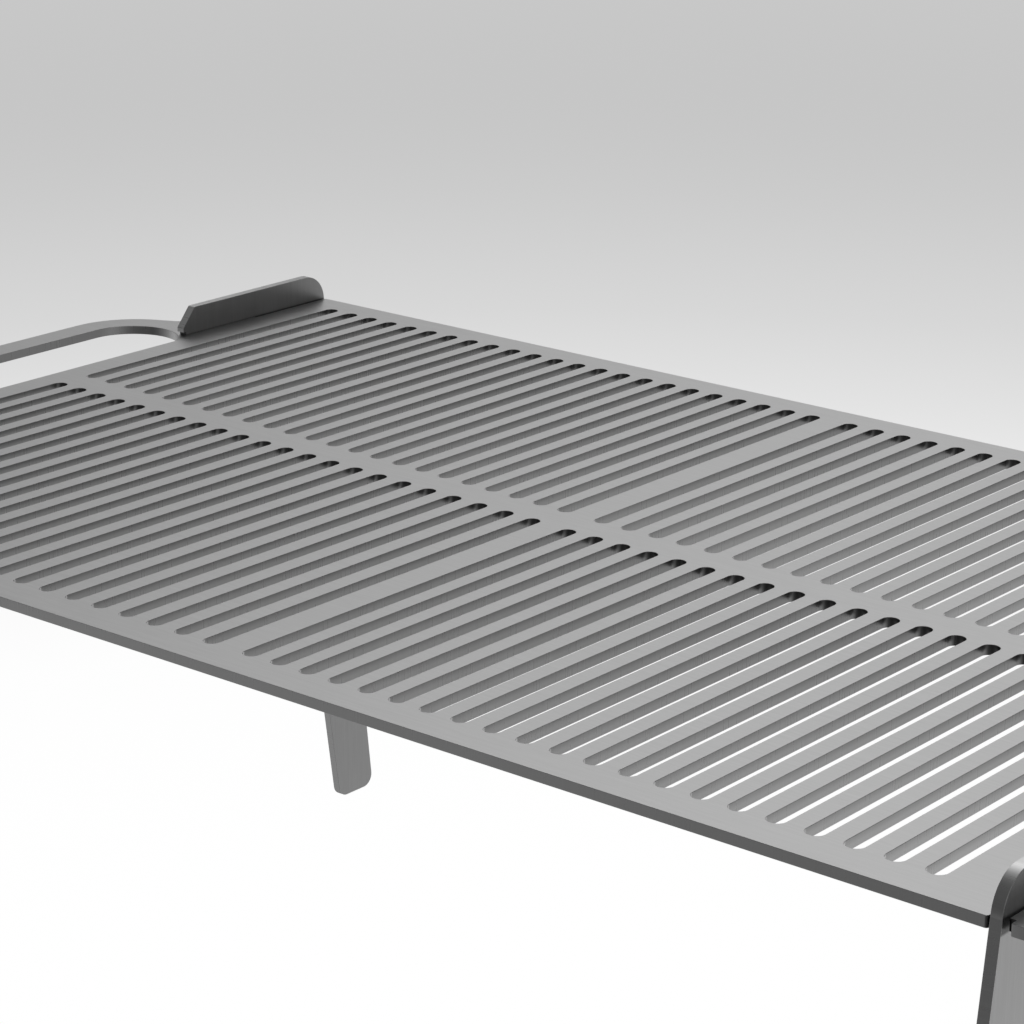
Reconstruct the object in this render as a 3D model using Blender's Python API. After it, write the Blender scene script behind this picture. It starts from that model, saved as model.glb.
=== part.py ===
"""Portable grill plate on four plug-in legs.

One 3 mm steel sheet is the whole top: a slotted grate, a D-shaped handle at each end, and an
ear beside each of the four slits.  Each leg is a flat 3 mm plate in the YZ plane.  Its web stands
in a slit that is open at the front or rear edge of the sheet.  Above the sheet the leg is a low
fence, below it a shoulder carries the sheet and runs into a tapered leg that splays outwards.
A leg is pulled out of its slit along Y, and the five flat plates then stack.

Frame: metres, +Z up, origin on the floor under the middle of the grate.
X runs along the grate (handles at both ends), -Y is the front.
"""
import math

import bmesh
import bpy
from mathutils import Vector
from mathutils.geometry import delaunay_2d_cdt

MM = 0.001

# ---------------------------------------------------------------- sheet
SHEET = 3.0            # thickness of every plate
PLATE_TOP = 202.0      # top of the grate above the floor
HALF_X = 230.0         # middle of the grate to the inner edge of a handle hole
HALF_Y = 150.0         # middle of the grate to its front and rear edges

# ---------------------------------------------------------------- slots
SLOT_BLOCKS = {        # each row, left and right half: left wall of the first slot, first pitch and
    #                    its growth from slot to slot, width of the first slot and its growth, count
    "front": ((-220.8, 9.58, 0.044, 4.8, 0.0, 22), (3.7, 9.89, 0.039, 4.85, 0.0026, 21)),
    "rear": ((-220.2, 9.48, 0.009, 4.8, 0.0, 23), (4.9, 10.0, 0.0, 4.9, 0.0, 22)),
}
MARGIN_FRONT = 10.5    # front edge to the slot ends
MARGIN_REAR = 9.8
RIB_WIDTH = 10.0       # cross rib between the front and the rear row
RIBS = ((1.55, -0.05), (0.9, -0.0205))   # left and right half: the rib's middle at x = 0, its slope
SLOT_END_STEPS = 6     # segments in the round end of a slot

# ---------------------------------------------------------------- handles
BAR_OUTER = 271.2      # outer edge of the grip bar
BAR_OUTER_R = 26.7     # outer corner
HOLE_ARC = (244.6, 62.6)   # centre of the arc that ends the handle hole
HOLE_ARC_R = 17.0      # its far side is the bar's inner edge, so the bar is 9.6 wide
HOLE_ARC_STEPS = 12
HOLE_CORNER_R = 1.0    # where the arc meets the grate's edge
ROOT_Y = 90.4          # a point of the root's outer edge, at ROOT_X
ROOT_X = 249.0
ROOT_SLOPE = 0.5
ROOT_FILLET = 8.0      # hollow fillet between the root and the ear

# ---------------------------------------------------------------- ears and slits
SLIT_IN = 232.0        # inner wall of a slit
SLIT_OUT = 236.0       # outer wall of a slit
SLIT_END_Y = 112.0     # bottom of the slit
MOUTH_R = 0.8          # rounding of the slit's mouth
RELIEF = (237.6, 2.0)  # step in the ear's side of the mouth: its wall and its depth
EAR_OUTER = 246.0
EAR_R = 4.0

# ---------------------------------------------------------------- legs (Y from the middle, Z from the grate top)
LEG_X = 234.0          # middle of the leg's thickness
FENCE_Y0 = 77.0        # inner end of the fence
FENCE_H = 9.5          # height of the fence over the sheet
FENCE_STEP = 2.8       # height of the upright end below the chamfer
FENCE_CHAMFER = 5.7
FENCE_R = 9.8          # outer top corner
GAP = 0.3              # between a leg and the faces of the sheet
NICK = (1.2, 1.2)      # small square relief under the fence's inner end
WEB_Y0 = 113.3         # inner end of the web in the slit
SHOULDER_Y0 = 92.0     # inner end of the shoulder under the sheet
SHOULDER_H = 6.0
LEG_IN_TOP = 124.9     # inner edge, extended up to the grate top
LEG_IN_SLOPE = 0.1585
LEG_OUT_SLOPE = 0.127  # the outer edge starts at HALF_Y
GUSSET_Z = -46.0       # where the gusset meets the inner edge
FOOT_R = 4.5

STEEL = {
    "grate_plate": (0.36, 0.36, 0.36, 1.0),
    "leg": (0.30, 0.30, 0.30, 1.0),
}


# ---------------------------------------------------------------- outlines
def rounded(points, max_angle=math.radians(15.0)):
    """Outline through corner points (x, y, radius) with each corner rounded by its radius."""
    out = []
    count = len(points)
    for i in range(count):
        x, y, r = points[i]
        p = Vector((x, y))
        a = Vector(points[i - 1][:2]) - p
        b = Vector(points[(i + 1) % count][:2]) - p
        if r <= 0.0:
            out.append(p)
            continue
        a.normalize()
        b.normalize()
        half = math.acos(max(-1.0, min(1.0, a.dot(b)))) / 2.0
        tangent = r / math.tan(half)
        bisector = (a + b).normalized()
        centre = p + bisector * (r / math.sin(half))
        start = p + a * tangent - centre
        end = p + b * tangent - centre
        turn = math.pi - 2.0 * half
        steps = max(2, math.ceil(turn / max_angle))
        a0 = math.atan2(start.y, start.x)
        sweep = math.atan2(end.y, end.x) - a0
        while sweep > math.pi:
            sweep -= 2.0 * math.pi
        while sweep < -math.pi:
            sweep += 2.0 * math.pi
        for k in range(steps + 1):
            t = a0 + sweep * k / steps
            out.append(centre + Vector((math.cos(t), math.sin(t))) * r)
    return out


def root_y(x):
    return ROOT_Y - ROOT_SLOPE * (x - ROOT_X)


def rib_y(half, x):
    return RIBS[half][0] + RIBS[half][1] * x


def plate_outline():
    """The sheet's outer outline, counter-clockwise, built from its quarter at +X +Y."""
    slit_r = (SLIT_OUT - SLIT_IN) / 2.0 - 0.001
    quarter = [
        (BAR_OUTER, root_y(BAR_OUTER), BAR_OUTER_R),
        (EAR_OUTER, root_y(EAR_OUTER), ROOT_FILLET),
        (EAR_OUTER, HALF_Y, EAR_R),
        (RELIEF[0], HALF_Y, 0.3),
        (RELIEF[0], HALF_Y - RELIEF[1], 0.0),
        (SLIT_OUT, HALF_Y - RELIEF[1], 0.3),
        (SLIT_OUT, SLIT_END_Y, slit_r),
        (SLIT_IN, SLIT_END_Y, slit_r),
        (SLIT_IN, HALF_Y, MOUTH_R),
    ]
    corners = list(quarter)
    corners += [(-x, y, r) for x, y, r in reversed(quarter)]
    corners += [(-x, -y, r) for x, y, r in quarter]
    corners += [(x, -y, r) for x, y, r in reversed(quarter)]
    return rounded(corners)


def handle_hole(side):
    """The hole of one handle, clockwise for a hole in a counter-clockwise sheet."""
    cx, cy = HOLE_ARC
    corner_y = cy + math.sqrt(HOLE_ARC_R ** 2 - (cx - HALF_X) ** 2)
    sweep = math.pi - math.asin((corner_y - cy) / HOLE_ARC_R)
    arc = []               # from the bar's inner edge round towards the grate's edge
    for k in range(HOLE_ARC_STEPS):
        t = sweep * k / HOLE_ARC_STEPS
        arc.append((cx + HOLE_ARC_R * math.cos(t), cy + HOLE_ARC_R * math.sin(t)))
    corners = [(side * x, -y, 0.0) for x, y in reversed(arc)]
    corners += [(side * x, y, 0.0) for x, y in arc]
    corners += [(side * HALF_X, corner_y, HOLE_CORNER_R), (side * HALF_X, -corner_y, HOLE_CORNER_R)]
    points = rounded(corners)
    return points[::-1] if side > 0 else points


def slot(x0, width, y0, y1):
    """A slot with round ends, clockwise, its left wall at x0."""
    r = width / 2.0
    cx = x0 + r
    points = []
    for k in range(SLOT_END_STEPS + 1):
        t = math.pi - math.pi * k / SLOT_END_STEPS
        points.append(Vector((cx + r * math.cos(t), y1 - r + r * math.sin(t))))
    for k in range(SLOT_END_STEPS + 1):
        t = -math.pi * k / SLOT_END_STEPS
        points.append(Vector((cx + r * math.cos(t), y0 + r + r * math.sin(t))))
    return points


def slots():
    loops = []
    for row, blocks in SLOT_BLOCKS.items():
        for half, (first, pitch, growth, width, widening, count) in enumerate(blocks):
            for k in range(count):
                steps = k * (k - 1) / 2.0
                x0 = first + pitch * k + growth * steps
                w = width + widening * steps
                rib = rib_y(half, x0 + w / 2.0)
                if row == "front":
                    loops.append(slot(x0, w, -HALF_Y + MARGIN_FRONT, rib - RIB_WIDTH / 2.0))
                else:
                    loops.append(slot(x0, w, rib + RIB_WIDTH / 2.0, HALF_Y - MARGIN_REAR))
    return loops


def leg_outline():
    """A leg's outline in (Y, Z), counter-clockwise, for the leg at +Y."""
    foot_z = -PLATE_TOP
    out_foot = HALF_Y + LEG_OUT_SLOPE * PLATE_TOP
    in_foot = LEG_IN_TOP + LEG_IN_SLOPE * PLATE_TOP
    in_gusset = LEG_IN_TOP - LEG_IN_SLOPE * GUSSET_Z
    under = -SHEET - GAP
    return rounded([
        (HALF_Y, FENCE_H, FENCE_R),
        (FENCE_Y0 + FENCE_CHAMFER, FENCE_H, 0.8),
        (FENCE_Y0, FENCE_STEP, 0.8),
        (FENCE_Y0, NICK[1], 0.0),
        (FENCE_Y0 + NICK[0], NICK[1], 0.0),
        (FENCE_Y0 + NICK[0], GAP, 0.0),
        (WEB_Y0, GAP, 0.0),
        (WEB_Y0, under, 0.0),
        (SHOULDER_Y0, under, 0.0),
        (SHOULDER_Y0, under - SHOULDER_H, 3.0),
        (in_gusset, GUSSET_Z, 25.0),
        (in_foot, foot_z, FOOT_R),
        (out_foot, foot_z, FOOT_R),
        (HALF_Y, 0.0, 0.0),
    ])


# ---------------------------------------------------------------- solids
def extruded(name, outline, holes, low, high, place):
    """A plate between low and high over an outline with holes; place maps (u, v, w) to (x, y, z)."""
    loops = [outline] + holes
    points = []
    faces = []
    for loop in loops:
        faces.append(list(range(len(points), len(points) + len(loop))))
        points += [Vector((p.x, p.y)) for p in loop]
    verts, _, tris, orig, _, _ = delaunay_2d_cdt(points, [], faces, 2, 1e-6)
    if len(verts) != len(points):
        raise ValueError(name + ": the outline touches itself")
    index = {}
    for new, olds in enumerate(orig):
        for old in olds:
            index[old] = new

    bm = bmesh.new()
    bottom = [bm.verts.new(place(v.x * MM, v.y * MM, low * MM)) for v in verts]
    top = [bm.verts.new(place(v.x * MM, v.y * MM, high * MM)) for v in verts]
    for tri in tris:
        bm.faces.new([top[i] for i in tri])
        bm.faces.new([bottom[i] for i in reversed(tri)])
    for loop in faces:
        ring = [index[i] for i in loop]
        for k in range(len(ring)):
            i, j = ring[k], ring[(k + 1) % len(ring)]
            bm.faces.new([bottom[i], bottom[j], top[j], top[i]])
    bmesh.ops.recalc_face_normals(bm, faces=bm.faces[:])
    if bm.calc_volume(signed=True) < 0.0:
        bmesh.ops.reverse_faces(bm, faces=bm.faces[:])
    mesh = bpy.data.meshes.new(name)
    bm.to_mesh(mesh)
    bm.free()
    obj = bpy.data.objects.new(name, mesh)
    bpy.context.collection.objects.link(obj)
    return obj


def steel(name, colour):
    material = bpy.data.materials.new(name)
    material.use_nodes = True
    shader = material.node_tree.nodes["Principled BSDF"]
    shader.inputs["Base Color"].default_value = colour
    shader.inputs["Metallic"].default_value = 1.0
    shader.inputs["Roughness"].default_value = 0.42
    return material


def build():
    for obj in list(bpy.data.objects):
        bpy.data.objects.remove(obj, do_unlink=True)

    plate = extruded(
        "grate_plate", plate_outline(), [handle_hole(1), handle_hole(-1)] + slots(),
        PLATE_TOP - SHEET, PLATE_TOP, lambda u, v, w: (u, v, w))
    plate.data.materials.append(steel("grate_plate", STEEL["grate_plate"]))

    outline = leg_outline()
    for end, side_y in (("front", -1.0), ("rear", 1.0)):
        for side, side_x in (("left", -1.0), ("right", 1.0)):
            name = "leg_%s_%s" % (end, side)
            guide = bpy.data.objects.new(name + "_slit", None)
            guide.location = (side_x * LEG_X * MM, side_y * HALF_Y * MM, PLATE_TOP * MM)
            bpy.context.collection.objects.link(guide)
            leg = extruded(
                name, outline, [], -SHEET / 2.0, SHEET / 2.0,
                lambda u, v, w, s=side_y: (w, s * (u - HALF_Y * MM), v))
            leg.parent = guide
            leg.data.materials.append(steel(name, STEEL["leg"]))


build()
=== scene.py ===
"""Looks of the portable grill plate: fine sheet-metal meshes, satin steel, floor, light and camera."""
import math

import bpy
from mathutils import Matrix, Vector
from mathutils.geometry import delaunay_2d_cdt


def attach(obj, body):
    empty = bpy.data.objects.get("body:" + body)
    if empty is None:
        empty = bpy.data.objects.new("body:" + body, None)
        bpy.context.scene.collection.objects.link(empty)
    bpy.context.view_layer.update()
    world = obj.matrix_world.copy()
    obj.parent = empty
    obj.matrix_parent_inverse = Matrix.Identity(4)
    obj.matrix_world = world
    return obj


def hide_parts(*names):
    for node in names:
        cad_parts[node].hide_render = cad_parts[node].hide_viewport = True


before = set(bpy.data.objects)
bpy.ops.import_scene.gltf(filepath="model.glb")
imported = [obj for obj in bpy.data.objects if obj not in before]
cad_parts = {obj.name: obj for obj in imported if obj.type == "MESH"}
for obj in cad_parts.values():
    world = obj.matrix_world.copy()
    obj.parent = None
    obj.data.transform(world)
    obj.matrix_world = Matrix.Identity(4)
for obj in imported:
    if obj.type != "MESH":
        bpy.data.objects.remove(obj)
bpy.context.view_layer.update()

MM = 0.001

# ---------------------------------------------------------------- sizes (millimetres, as in the solids)
SHEET = 3.0
PLATE_TOP = 202.0
HALF_X, HALF_Y = 230.0, 150.0
SLOT_BLOCKS = {        # each row, left and right half: first left wall, pitch, its growth, width, its growth, count
    "front": ((-220.8, 9.58, 0.044, 4.8, 0.0, 22), (3.7, 9.89, 0.039, 4.85, 0.0026, 21)),
    "rear": ((-220.2, 9.48, 0.009, 4.8, 0.0, 23), (4.9, 10.0, 0.0, 4.9, 0.0, 22)),
}
MARGIN_FRONT, MARGIN_REAR, RIB_WIDTH = 10.5, 9.8, 10.0
RIBS = ((1.55, -0.05), (0.9, -0.0205))   # left and right half: the rib's middle at x = 0, its slope
BAR_OUTER, BAR_OUTER_R = 271.2, 26.7
HOLE_ARC, HOLE_ARC_R, HOLE_ARC_STEPS, HOLE_CORNER_R = (244.6, 62.6), 17.0, 40, 1.0
ROOT_Y, ROOT_X, ROOT_SLOPE, ROOT_FILLET = 90.4, 249.0, 0.5, 8.0
SLIT_IN, SLIT_OUT, SLIT_END_Y, MOUTH_R, RELIEF = 232.0, 236.0, 112.0, 0.8, (237.6, 2.0)
EAR_OUTER, EAR_R = 246.0, 4.0
LEG_X = 234.0
FENCE_Y0, FENCE_H, FENCE_STEP, FENCE_CHAMFER, FENCE_R = 77.0, 9.5, 2.8, 5.7, 9.8
GAP, NICK = 0.3, (1.2, 1.2)
REST = 0.03            # the fence as drawn stands this far over the sheet, so no light shows under it
WEB_Y0, SHOULDER_Y0, SHOULDER_H = 113.3, 92.0, 6.0
LEG_IN_TOP, LEG_IN_SLOPE, LEG_OUT_SLOPE = 124.9, 0.1585, 0.127
GUSSET_Z, FOOT_R = -46.0, 4.5

ARRIS, LEG_ARRIS = 0.12, 0.07          # rounding of every cut edge
ARRIS_STEPS = 3
ARC = math.radians(5.0)


# ---------------------------------------------------------------- outlines
def rounded(points):
    """Outline through corner points (x, y, radius), each corner rounded by its radius."""
    out = []
    count = len(points)
    for i in range(count):
        x, y, r = points[i]
        p = Vector((x, y))
        if r <= 0.0:
            out.append(p)
            continue
        a = (Vector(points[i - 1][:2]) - p).normalized()
        b = (Vector(points[(i + 1) % count][:2]) - p).normalized()
        half = math.acos(max(-1.0, min(1.0, a.dot(b)))) / 2.0
        centre = p + (a + b).normalized() * (r / math.sin(half))
        start = p + a * (r / math.tan(half)) - centre
        end = p + b * (r / math.tan(half)) - centre
        steps = max(2, math.ceil((math.pi - 2.0 * half) / ARC))
        a0 = math.atan2(start.y, start.x)
        sweep = (math.atan2(end.y, end.x) - a0 + math.pi) % (2.0 * math.pi) - math.pi
        for k in range(steps + 1):
            t = a0 + sweep * k / steps
            out.append(centre + Vector((math.cos(t), math.sin(t))) * r)
    return out


def root_y(x):
    return ROOT_Y - ROOT_SLOPE * (x - ROOT_X)


def rib_y(half, x):
    return RIBS[half][0] + RIBS[half][1] * x


def plate_outline():
    slit_r = (SLIT_OUT - SLIT_IN) / 2.0 - 0.001
    quarter = [
        (BAR_OUTER, root_y(BAR_OUTER), BAR_OUTER_R),
        (EAR_OUTER, root_y(EAR_OUTER), ROOT_FILLET),
        (EAR_OUTER, HALF_Y, EAR_R),
        (RELIEF[0], HALF_Y, 0.3),
        (RELIEF[0], HALF_Y - RELIEF[1], 0.0),
        (SLIT_OUT, HALF_Y - RELIEF[1], 0.3),
        (SLIT_OUT, SLIT_END_Y, slit_r),
        (SLIT_IN, SLIT_END_Y, slit_r),
        (SLIT_IN, HALF_Y, MOUTH_R),
    ]
    corners = list(quarter)
    corners += [(-x, y, r) for x, y, r in reversed(quarter)]
    corners += [(-x, -y, r) for x, y, r in quarter]
    corners += [(x, -y, r) for x, y, r in reversed(quarter)]
    return rounded(corners)


def handle_hole(side):
    cx, cy = HOLE_ARC
    corner_y = cy + math.sqrt(HOLE_ARC_R ** 2 - (cx - HALF_X) ** 2)
    sweep = math.pi - math.asin((corner_y - cy) / HOLE_ARC_R)
    arc = []
    for k in range(HOLE_ARC_STEPS):
        t = sweep * k / HOLE_ARC_STEPS
        arc.append((cx + HOLE_ARC_R * math.cos(t), cy + HOLE_ARC_R * math.sin(t)))
    corners = [(side * x, -y, 0.0) for x, y in reversed(arc)]
    corners += [(side * x, y, 0.0) for x, y in arc]
    corners += [(side * HALF_X, corner_y, HOLE_CORNER_R), (side * HALF_X, -corner_y, HOLE_CORNER_R)]
    points = rounded(corners)
    return points[::-1] if side > 0 else points


def slot(x0, width, y0, y1, steps=18):
    r = width / 2.0
    loop = []
    for k in range(steps + 1):
        t = math.pi - math.pi * k / steps
        loop.append(Vector((x0 + r + r * math.cos(t), y1 - r + r * math.sin(t))))
    for k in range(steps + 1):
        t = -math.pi * k / steps
        loop.append(Vector((x0 + r + r * math.cos(t), y0 + r + r * math.sin(t))))
    return loop


def slots():
    loops = []
    for row, blocks in SLOT_BLOCKS.items():
        for half, (first, pitch, growth, width, widening, count) in enumerate(blocks):
            for k in range(count):
                steps = k * (k - 1) / 2.0
                x0 = first + pitch * k + growth * steps
                w = width + widening * steps
                rib = rib_y(half, x0 + w / 2.0)
                if row == "front":
                    loops.append(slot(x0, w, -HALF_Y + MARGIN_FRONT, rib - RIB_WIDTH / 2.0))
                else:
                    loops.append(slot(x0, w, rib + RIB_WIDTH / 2.0, HALF_Y - MARGIN_REAR))
    return loops


def leg_outline():
    """In (Y, Z) from the grate's top, counter-clockwise, for a leg at +Y."""
    foot = -PLATE_TOP
    under = -SHEET - GAP
    return rounded([
        (HALF_Y, FENCE_H, FENCE_R),
        (FENCE_Y0 + FENCE_CHAMFER, FENCE_H, 0.8),
        (FENCE_Y0, FENCE_STEP, 0.8),
        (FENCE_Y0, NICK[1], 0.0),
        (FENCE_Y0 + NICK[0], NICK[1], 0.0),
        (FENCE_Y0 + NICK[0], REST, 0.0),
        (WEB_Y0, REST, 0.0),
        (WEB_Y0, under, 0.0),
        (SHOULDER_Y0, under, 0.0),
        (SHOULDER_Y0, under - SHOULDER_H, 3.0),
        (LEG_IN_TOP - LEG_IN_SLOPE * GUSSET_Z, GUSSET_Z, 25.0),
        (LEG_IN_TOP + LEG_IN_SLOPE * PLATE_TOP, foot, FOOT_R),
        (HALF_Y + LEG_OUT_SLOPE * PLATE_TOP, foot, FOOT_R),
        (HALF_Y, 0.0, 0.0),
    ])


# ---------------------------------------------------------------- sheet-metal solids
def plate_mesh(name, loops, low, high, place, arris):
    """A plate over closed loops (the first outside and counter-clockwise, the rest holes and clockwise).
    Every cut edge has a rounded arris, and the normals are those of the true surface.
    Material 0 is the flat faces, material 1 the cut walls with their arrises."""
    profile = []           # (inset, height, outward share, upward share) from the top face to the bottom face
    for k in range(ARRIS_STEPS + 1):
        t = math.pi / 2.0 * k / ARRIS_STEPS
        profile.append((arris * (1 - math.sin(t)), high - arris * (1 - math.cos(t)), math.sin(t), math.cos(t)))
    profile += [(d, low + high - h, o, -u) for d, h, o, u in reversed(profile)]

    rings = []             # per loop: (first index, count, outward normals before and after each point)
    flat = []
    inset_points = []
    for loop in loops:
        n = len(loop)
        edge_out = []
        for i in range(n):
            d = (loop[(i + 1) % n] - loop[i]).normalized()
            edge_out.append(Vector((d.y, -d.x)))
        before, after, miter = [], [], []
        for i in range(n):
            a, b = edge_out[i - 1], edge_out[i]
            m = (a + b) / (1.0 + a.dot(b))
            miter.append(m)
            if a.angle(b) < math.radians(20.0):
                s = (a + b).normalized()
                before.append(s)
                after.append(s)
            else:
                before.append(a)
                after.append(b)
        rings.append((len(inset_points), n, before, after, miter))
        inset_points += [loop[i] - miter[i] * arris for i in range(n)]
        flat.append(list(range(rings[-1][0], rings[-1][0] + n)))

    verts2d, _, tris, orig, _, _ = delaunay_2d_cdt(inset_points, [], flat, 2, 1e-6)
    if len(verts2d) != len(inset_points):
        raise ValueError(name + ": the outline touches itself")
    back = {}
    for new, olds in enumerate(orig):
        for old in olds:
            back[new] = old

    def at(u, v, w):
        return Vector(place(u * MM, v * MM, w * MM))

    def turned(u, v, w):
        return (Vector(place(u, v, w)) - Vector(place(0.0, 0.0, 0.0))).normalized()

    total = len(inset_points)
    verts = []
    for inset, height, _, _ in profile:
        for (first, n, before, after, miter), loop in zip(rings, loops):
            for i in range(n):
                p = loop[i] - miter[i] * inset
                verts.append(at(p.x, p.y, height))
    ex, ey, ez = (turned(1, 0, 0), turned(0, 1, 0), turned(0, 0, 1))
    flip = ex.cross(ey).dot(ez) < 0.0

    faces, normals, slot_of = [], [], []

    def add(face, face_normals, material):
        if flip:
            face, face_normals = face[::-1], face_normals[::-1]
        faces.append(face)
        normals.extend(face_normals)
        slot_of.append(material)

    last = (len(profile) - 1) * total
    up, down = turned(0, 0, 1), turned(0, 0, -1)
    for tri in tris:
        a = [back[i] for i in tri]
        p, q, r = (inset_points[i] for i in a)
        if (q - p).cross(r - p) < 0.0:
            a.reverse()
        add(list(a), [up] * 3, 0)
        add([last + i for i in reversed(a)], [down] * 3, 0)
    for level in range(len(profile) - 1):
        _, _, o0, u0 = profile[level]
        _, _, o1, u1 = profile[level + 1]
        top, bottom = level * total, (level + 1) * total
        for first, n, before, after, _ in rings:
            for i in range(n):
                j = (i + 1) % n
                ni, nj = after[i], before[j]
                add([bottom + first + i, bottom + first + j, top + first + j, top + first + i],
                    [turned(ni.x * o1, ni.y * o1, u1), turned(nj.x * o1, nj.y * o1, u1),
                     turned(nj.x * o0, nj.y * o0, u0), turned(ni.x * o0, ni.y * o0, u0)], 1)

    mesh = bpy.data.meshes.new(name)
    mesh.from_pydata([tuple(v) for v in verts], [], faces)
    mesh.polygons.foreach_set("material_index", slot_of)
    mesh.polygons.foreach_set("use_smooth", [True] * len(faces))
    mesh.update()
    mesh.normals_split_custom_set([tuple(n) for n in normals])
    obj = bpy.data.objects.new(name, mesh)
    bpy.context.scene.collection.objects.link(obj)
    return obj


# ---------------------------------------------------------------- steel
class Nodes:
    """Short helpers for one material's node tree."""

    def __init__(self, material):
        material.use_nodes = True
        self.tree = material.node_tree
        self.shader = self.tree.nodes["Principled BSDF"]

    def new(self, kind, **settings):
        node = self.tree.nodes.new(kind)
        for key, value in settings.items():
            setattr(node, key, value)
        return node

    def link(self, a, b):
        self.tree.links.new(a, b)

    def noise(self, vector, scale, detail=2.0, roughness=0.5):
        node = self.new("ShaderNodeTexNoise")
        node.inputs["Scale"].default_value = scale
        node.inputs["Detail"].default_value = detail
        node.inputs["Roughness"].default_value = roughness
        self.link(vector, node.inputs["Vector"])
        return node.outputs["Fac"]

    def stretched(self, vector, scale):
        node = self.new("ShaderNodeMapping")
        node.inputs["Scale"].default_value = scale
        self.link(vector, node.inputs["Vector"])
        return node.outputs["Vector"]

    def span(self, value, low, high, start=0.3, end=0.7):
        node = self.new("ShaderNodeMapRange")
        node.inputs["From Min"].default_value = start
        node.inputs["From Max"].default_value = end
        node.inputs["To Min"].default_value = low
        node.inputs["To Max"].default_value = high
        self.link(value, node.inputs["Value"])
        return node.outputs["Result"]

    def math(self, operation, a, b):
        node = self.new("ShaderNodeMath", operation=operation)
        for socket, value in zip(node.inputs, (a, b)):
            if isinstance(value, (int, float)):
                socket.default_value = value
            else:
                self.link(value, socket)
        return node.outputs[0]

    def band(self, value, low, high, edge=0.00015):
        """1 between low and high, 0 outside, with a narrow soft edge."""
        rise = self.span(value, 0.0, 1.0, low - edge, low)
        fall = self.span(value, 1.0, 0.0, high, high + edge)
        return self.math("MULTIPLY", rise, fall)

    def paint_shade(self, base, left, edge, *areas):
        """Painted shade: darkens the base to a share left inside the areas; an area is a list of (value, low, high)
        bands.
        """
        for area in areas:
            mask = None
            for value, low, high in area:
                band = self.band(value, low, high, edge)
                mask = band if mask is None else self.math("MULTIPLY", mask, band)
            base = self.math("MULTIPLY", base, self.span(mask, 1.0, left, 0.0, 1.0))
        return base

    def grey(self, value):
        node = self.new("ShaderNodeCombineColor")
        for name in ("Red", "Green", "Blue"):
            self.link(value, node.inputs[name])
        return node.outputs["Color"]

    def bump(self, height, distance, strength=1.0, normal=None):
        node = self.new("ShaderNodeBump")
        node.inputs["Distance"].default_value = distance
        node.inputs["Strength"].default_value = strength
        self.link(height, node.inputs["Height"])
        if normal is not None:
            self.link(normal, node.inputs["Normal"])
        return node.outputs["Normal"]


def satin_face(name, tone, grain, shaded_areas=None):
    """A rolled sheet with a fine satin finish; grain is the noise scale along x, y and z; the optional shaded areas
    get painted shade.
    """
    material = bpy.data.materials.new(name)
    n = Nodes(material)
    place = n.new("ShaderNodeTexCoord").outputs["Object"]
    fine = n.noise(n.stretched(place, grain), 1.0, 3.0, 0.6)
    cloud = n.noise(place, 22.0, 3.0, 0.55)
    peen = n.noise(place, 1500.0, 2.0, 0.5)
    base = n.math("MULTIPLY", n.span(fine, 0.955, 1.045), n.span(cloud, 0.985 * tone, 1.015 * tone))
    if shaded_areas:
        # painted shade: darker inside the shaded areas
        base = n.paint_shade(base, 0.3, 0.0006, *shaded_areas(n, place))
    n.link(n.grey(base), n.shader.inputs["Base Color"])
    n.shader.inputs["Metallic"].default_value = 1.0
    rough = n.math("ADD", n.span(cloud, -0.015, 0.015), n.span(fine, 0.385, 0.415))
    n.link(rough, n.shader.inputs["Roughness"])
    height = n.math("ADD", n.math("MULTIPLY", fine, 0.6), n.math("MULTIPLY", peen, 0.4))
    n.link(n.bump(height, 0.000006), n.shader.inputs["Normal"])
    return material


def cut_wall(name, tone, ribs, shaded_areas, shade=None):
    """A laser-cut wall with fine striations across the sheet; ribs is the noise scale along x, y and z; shade and
    the shaded areas are painted shade.
    """
    material = bpy.data.materials.new(name)
    n = Nodes(material)
    place = n.new("ShaderNodeTexCoord").outputs["Object"]
    striation = n.noise(n.stretched(place, ribs), 1.0, 2.0, 0.5)
    cloud = n.noise(place, 60.0, 2.0, 0.5)
    base = n.math("MULTIPLY", n.span(striation, 0.975, 1.025), n.span(cloud, 0.985 * tone, 1.015 * tone))
    # painted shade that varies over the wall
    if shade:
        base = n.math("MULTIPLY", base, shade(n, place))
    # painted shade: darker inside the shaded areas
    base = n.paint_shade(base, 0.2, 0.00015, *shaded_areas(n, place))
    n.link(n.grey(base), n.shader.inputs["Base Color"])
    n.shader.inputs["Metallic"].default_value = 1.0
    n.link(n.span(striation, 0.27, 0.3), n.shader.inputs["Roughness"])
    n.link(n.bump(striation, 0.0000025), n.shader.inputs["Normal"])
    return material


def split(n, place):
    """Distance from the middle along X and along Y, and the height."""
    node = n.new("ShaderNodeSeparateXYZ")
    n.link(place, node.inputs[0])
    return (n.math("ABSOLUTE", node.outputs["X"], 0.0), n.math("ABSOLUTE", node.outputs["Y"], 0.0),
            node.outputs["Z"])


def shade_in_slots(n, place):
    """Painted shade in the slots: the cut is darker along its upper edge, and darker still round the slot's ends.
    """
    x, y, z = split(n, place)
    _, end, _ = split(n, n.new("ShaderNodeNewGeometry").outputs["Normal"])
    depth = n.span(z, 1.02, 0.8, (PLATE_TOP - 1.8) * MM, (PLATE_TOP - 0.4) * MM)
    dark = n.math("SUBTRACT", 1.0, n.math("MULTIPLY", depth, n.span(end, 1.0, 0.4, 0.3, 0.75)))
    inner = n.math("MULTIPLY", n.band(x, -1.0, (HALF_X - 0.5) * MM), n.band(y, -1.0, (HALF_Y - 1.5) * MM))
    return n.math("SUBTRACT", 1.0, n.math("MULTIPLY", inner, dark))


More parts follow.
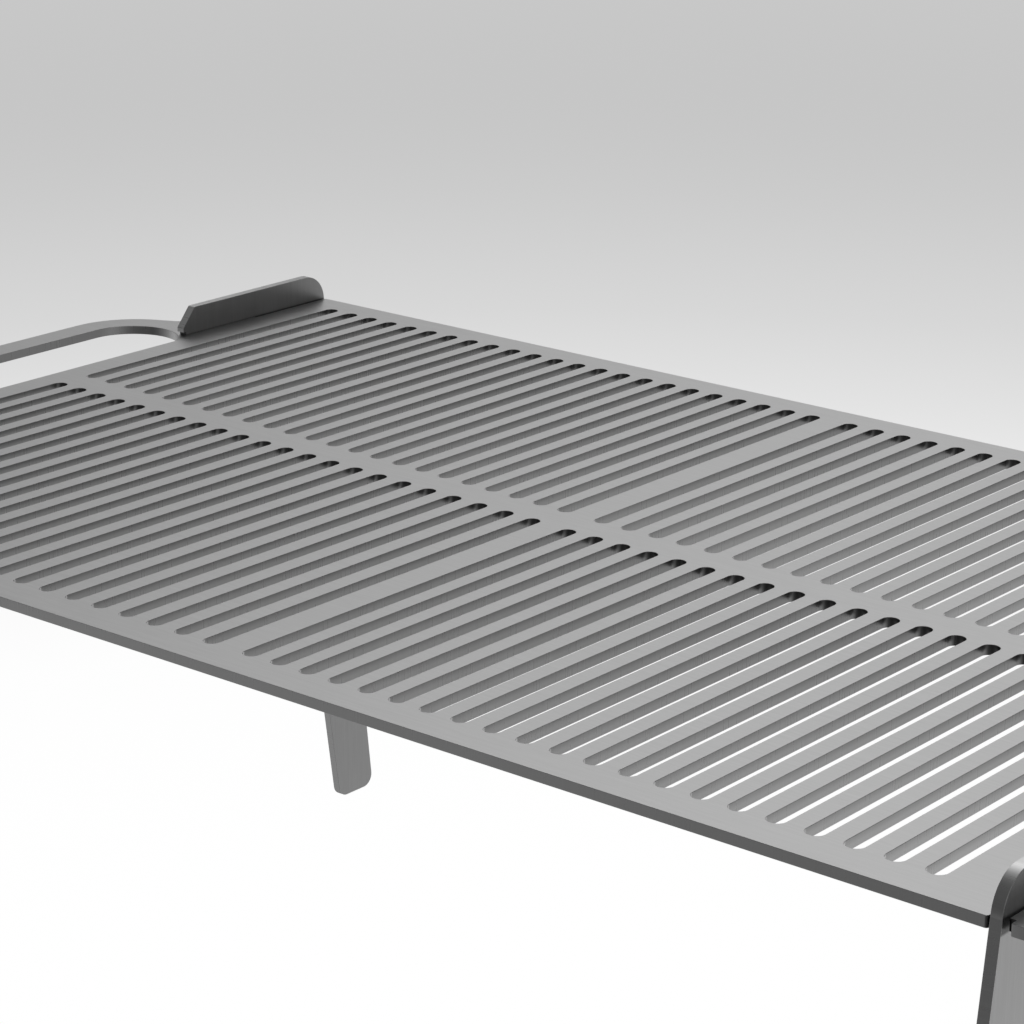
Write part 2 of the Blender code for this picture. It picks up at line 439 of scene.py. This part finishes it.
def shade_in_slit(n, place):
    """Painted shade on the walls of the four slits."""
    x, y, _ = split(n, place)
    return [[(x, (SLIT_IN - 0.3) * MM, (RELIEF[0] + 0.1) * MM), (y, (SLIT_END_Y - 3.0) * MM, HALF_Y * MM)]]


def shade_on_web(n, place):
    """Painted shade on the leg's faces where it stands in its slit."""
    _, _, z = split(n, place)
    return [[(z, (PLATE_TOP - SHEET - GAP) * MM, (PLATE_TOP - 0.1) * MM)]]


def shade_in_nick(n, place):
    """Painted shade on the small relief under the fence's inner end."""
    _, y, z = split(n, place)
    top = PLATE_TOP * MM
    return [[(z, top, top + (NICK[1] + 0.05) * MM), (y, (FENCE_Y0 + 0.2) * MM, (FENCE_Y0 + NICK[0] + 0.1) * MM)]]


# The slit, slot, web and nick masks paint shade into the steel's colour.
GRATE_FACE = satin_face("grate_satin_steel", 0.56, (60.0, 1400.0, 1400.0))
GRATE_WALL = cut_wall("grate_cut_edge", 0.54, (1800.0, 1800.0, 60.0), shade_in_slit, shade_in_slots)
LEG_FACE = satin_face("leg_satin_steel", 0.56, (1400.0, 1400.0, 60.0), shade_on_web)
LEG_WALL = cut_wall("leg_cut_edge", 0.6, (60.0, 1800.0, 1800.0), shade_in_nick)
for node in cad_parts.values():
    node.data.materials.clear()
    node.data.materials.append(GRATE_FACE if node.name == "grate_plate" else LEG_FACE)


# ---------------------------------------------------------------- pieces
def dress(obj, face, wall, body, node):
    obj.data.materials.append(face)
    obj.data.materials.append(wall)
    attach(obj, body)
    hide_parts(node)


grate = plate_mesh(
    "slotted_grate", [plate_outline(), handle_hole(1), handle_hole(-1)] + slots(),
    PLATE_TOP - SHEET, PLATE_TOP, lambda u, v, w: (u, v, w), ARRIS)
dress(grate, GRATE_FACE, GRATE_WALL, "grate", "grate_plate")

for end, side_y in (("front", -1.0), ("rear", 1.0)):
    for side, side_x in (("left", -1.0), ("right", 1.0)):
        leg = plate_mesh(
            "%s_%s_leg_plate" % (end, side), [leg_outline()], -SHEET / 2.0, SHEET / 2.0,
            lambda u, v, w, sx=side_x, sy=side_y: (sx * LEG_X * MM + w, sy * u, PLATE_TOP * MM + v), LEG_ARRIS)
        dress(leg, LEG_FACE, LEG_WALL, "%s_%s_leg" % (end, side), "leg_%s_%s" % (end, side))


# ---------------------------------------------------------------- floor
def floor():
    """A round pale floor that curves up into a backdrop far outside the object; it glows with a painted pool of
    light, white round the middle and fading to grey further out.
    """
    profile = [(0.0, 0.0)]
    profile += [(r, 0.0) for r in (0.5, 1.0, 2.0, 4.0, 7.0)]
    profile += [(7.0 + 4.0 * math.sin(t), 4.0 - 4.0 * math.cos(t))
                for t in (math.pi / 2.0 * k / 12 for k in range(1, 13))]
    profile.append((11.0, 9.0))
    sides = 96
    verts = [(0.0, 0.0, 0.0)]
    for r, z in profile[1:]:
        for k in range(sides):
            a = 2.0 * math.pi * k / sides
            verts.append((r * math.cos(a), r * math.sin(a), z))
    faces = []
    for k in range(sides):
        faces.append((0, 1 + k, 1 + (k + 1) % sides))
    for ring in range(len(profile) - 2):
        a, b = 1 + ring * sides, 1 + (ring + 1) * sides
        for k in range(sides):
            faces.append((a + k, b + k, b + (k + 1) % sides, a + (k + 1) % sides))
    mesh = bpy.data.meshes.new("studio_floor")
    mesh.from_pydata(verts, [], faces)
    mesh.polygons.foreach_set("use_smooth", [True] * len(faces))
    obj = bpy.data.objects.new("studio_floor", mesh)
    bpy.context.scene.collection.objects.link(obj)

    material = bpy.data.materials.new("studio_floor")
    material.use_nodes = True
    tree = material.node_tree
    tree.nodes.clear()
    out = tree.nodes.new("ShaderNodeOutputMaterial")
    glow = tree.nodes.new("ShaderNodeEmission")
    coord = tree.nodes.new("ShaderNodeTexCoord")
    length = tree.nodes.new("ShaderNodeVectorMath")
    length.operation = "LENGTH"
    ramp = tree.nodes.new("ShaderNodeValToRGB")
    scale = tree.nodes.new("ShaderNodeMath")
    scale.operation = "DIVIDE"
    scale.inputs[1].default_value = 4.0
    ramp.color_ramp.interpolation = "B_SPLINE"
    # the painted pool of light: distance from the middle in metres, and its grey
    stops = ((0.0, 1.0), (0.45, 1.0), (0.62, 0.93), (0.83, 0.77), (1.05, 0.68), (1.4, 0.59), (1.8, 0.557), (2.4, 0.58), (4.0, 0.58))
    ramp.color_ramp.elements[0].position = 0.0
    ramp.color_ramp.elements[0].color = (1.0, 1.0, 1.0, 1.0)
    ramp.color_ramp.elements[1].position = 1.0
    ramp.color_ramp.elements[1].color = (0.58, 0.58, 0.58, 1.0)
    for r, g in stops[1:-1]:
        e = ramp.color_ramp.elements.new(r / 4.0)
        e.color = (g, g, g, 1.0)
    tree.links.new(coord.outputs["Object"], length.inputs[0])
    tree.links.new(length.outputs["Value"], scale.inputs[0])
    tree.links.new(scale.outputs[0], ramp.inputs["Fac"])
    tree.links.new(ramp.outputs["Color"], glow.inputs["Color"])
    tree.links.new(glow.outputs[0], out.inputs["Surface"])
    mesh.materials.append(material)
    obj.visible_glossy = False
    obj.visible_diffuse = False
    obj.visible_shadow = False


floor()


# ---------------------------------------------------------------- light
SPREAD = 12.0          # how fast a soft light fades away from its middle
SOFT_LIGHTS = (        # direction of its middle (degrees from +Y towards +X, degrees above the floor), strength
    (120, 62, 0.280),
    (300, 62, 0.232),
    (150, 38, 0.228),
    (240, 38, 0.121),
    (330, 38, 1.257),
    (0, 15, 0.218),
    (90, 15, 0.185),
    (120, 15, 0.283),
    (150, 15, 0.285),
    (180, 15, 0.156),
    (240, 15, 0.033),
    (270, 15, 0.390),
    (75, -8, 0.123),
    (105, -8, 0.117),
    (255, -8, 0.265),
    (0, -30, 1.209),
    (45, -30, 0.211),
    (90, -30, 0.112),
    (225, -30, 0.240),
    (270, -30, 0.467),
    (0, -58, 0.344),
    (72, -58, 0.713),
    (216, -58, 0.136),
    (288, -58, 0.120),
)


def studio():
    """Broad soft lights all round, with no edges: each fades as exp(SPREAD (cos(angle) - 1))."""
    world = bpy.data.worlds.new("studio")
    bpy.context.scene.world = world
    world.use_nodes = True
    tree = world.node_tree
    back = tree.nodes["Background"]
    back.inputs["Color"].default_value = (1.0, 1.0, 1.0, 1.0)
    direction = tree.nodes.new("ShaderNodeTexCoord").outputs["Generated"]

    def step(operation, a, b=None):
        node = tree.nodes.new("ShaderNodeMath")
        node.operation = operation
        for socket, value in zip(node.inputs, (a, b)):
            if isinstance(value, (int, float)):
                socket.default_value = value
            elif value is not None:
                tree.links.new(value, socket)
        return node.outputs[0]

    total = None
    for azimuth, elevation, strength in SOFT_LIGHTS:
        a, e = math.radians(azimuth), math.radians(elevation)
        facing = tree.nodes.new("ShaderNodeVectorMath")
        facing.operation = "DOT_PRODUCT"
        facing.inputs[1].default_value = (math.sin(a) * math.cos(e), math.cos(a) * math.cos(e), math.sin(e))
        tree.links.new(direction, facing.inputs[0])
        fade = step("EXPONENT", step("MULTIPLY", step("SUBTRACT", facing.outputs["Value"], 1.0), SPREAD))
        light = step("MULTIPLY", fade, strength)
        total = light if total is None else step("ADD", total, light)
    tree.links.new(total, back.inputs["Strength"])


studio()
bpy.context.scene.view_settings.view_transform = "Standard"

# ---------------------------------------------------------------- camera
camera = bpy.data.objects.new("camera", bpy.data.cameras.new("camera"))
bpy.context.scene.collection.objects.link(camera)
camera.location = (0.532167, -0.678696, 0.484389)
camera.rotation_euler = (1.2573825, -0.0095111, 0.6859609)
camera.data.sensor_width = 36.0
camera.data.lens = 110.1075
camera.data.clip_start = 0.01
camera.data.clip_end = 100.0
bpy.context.scene.camera = camera
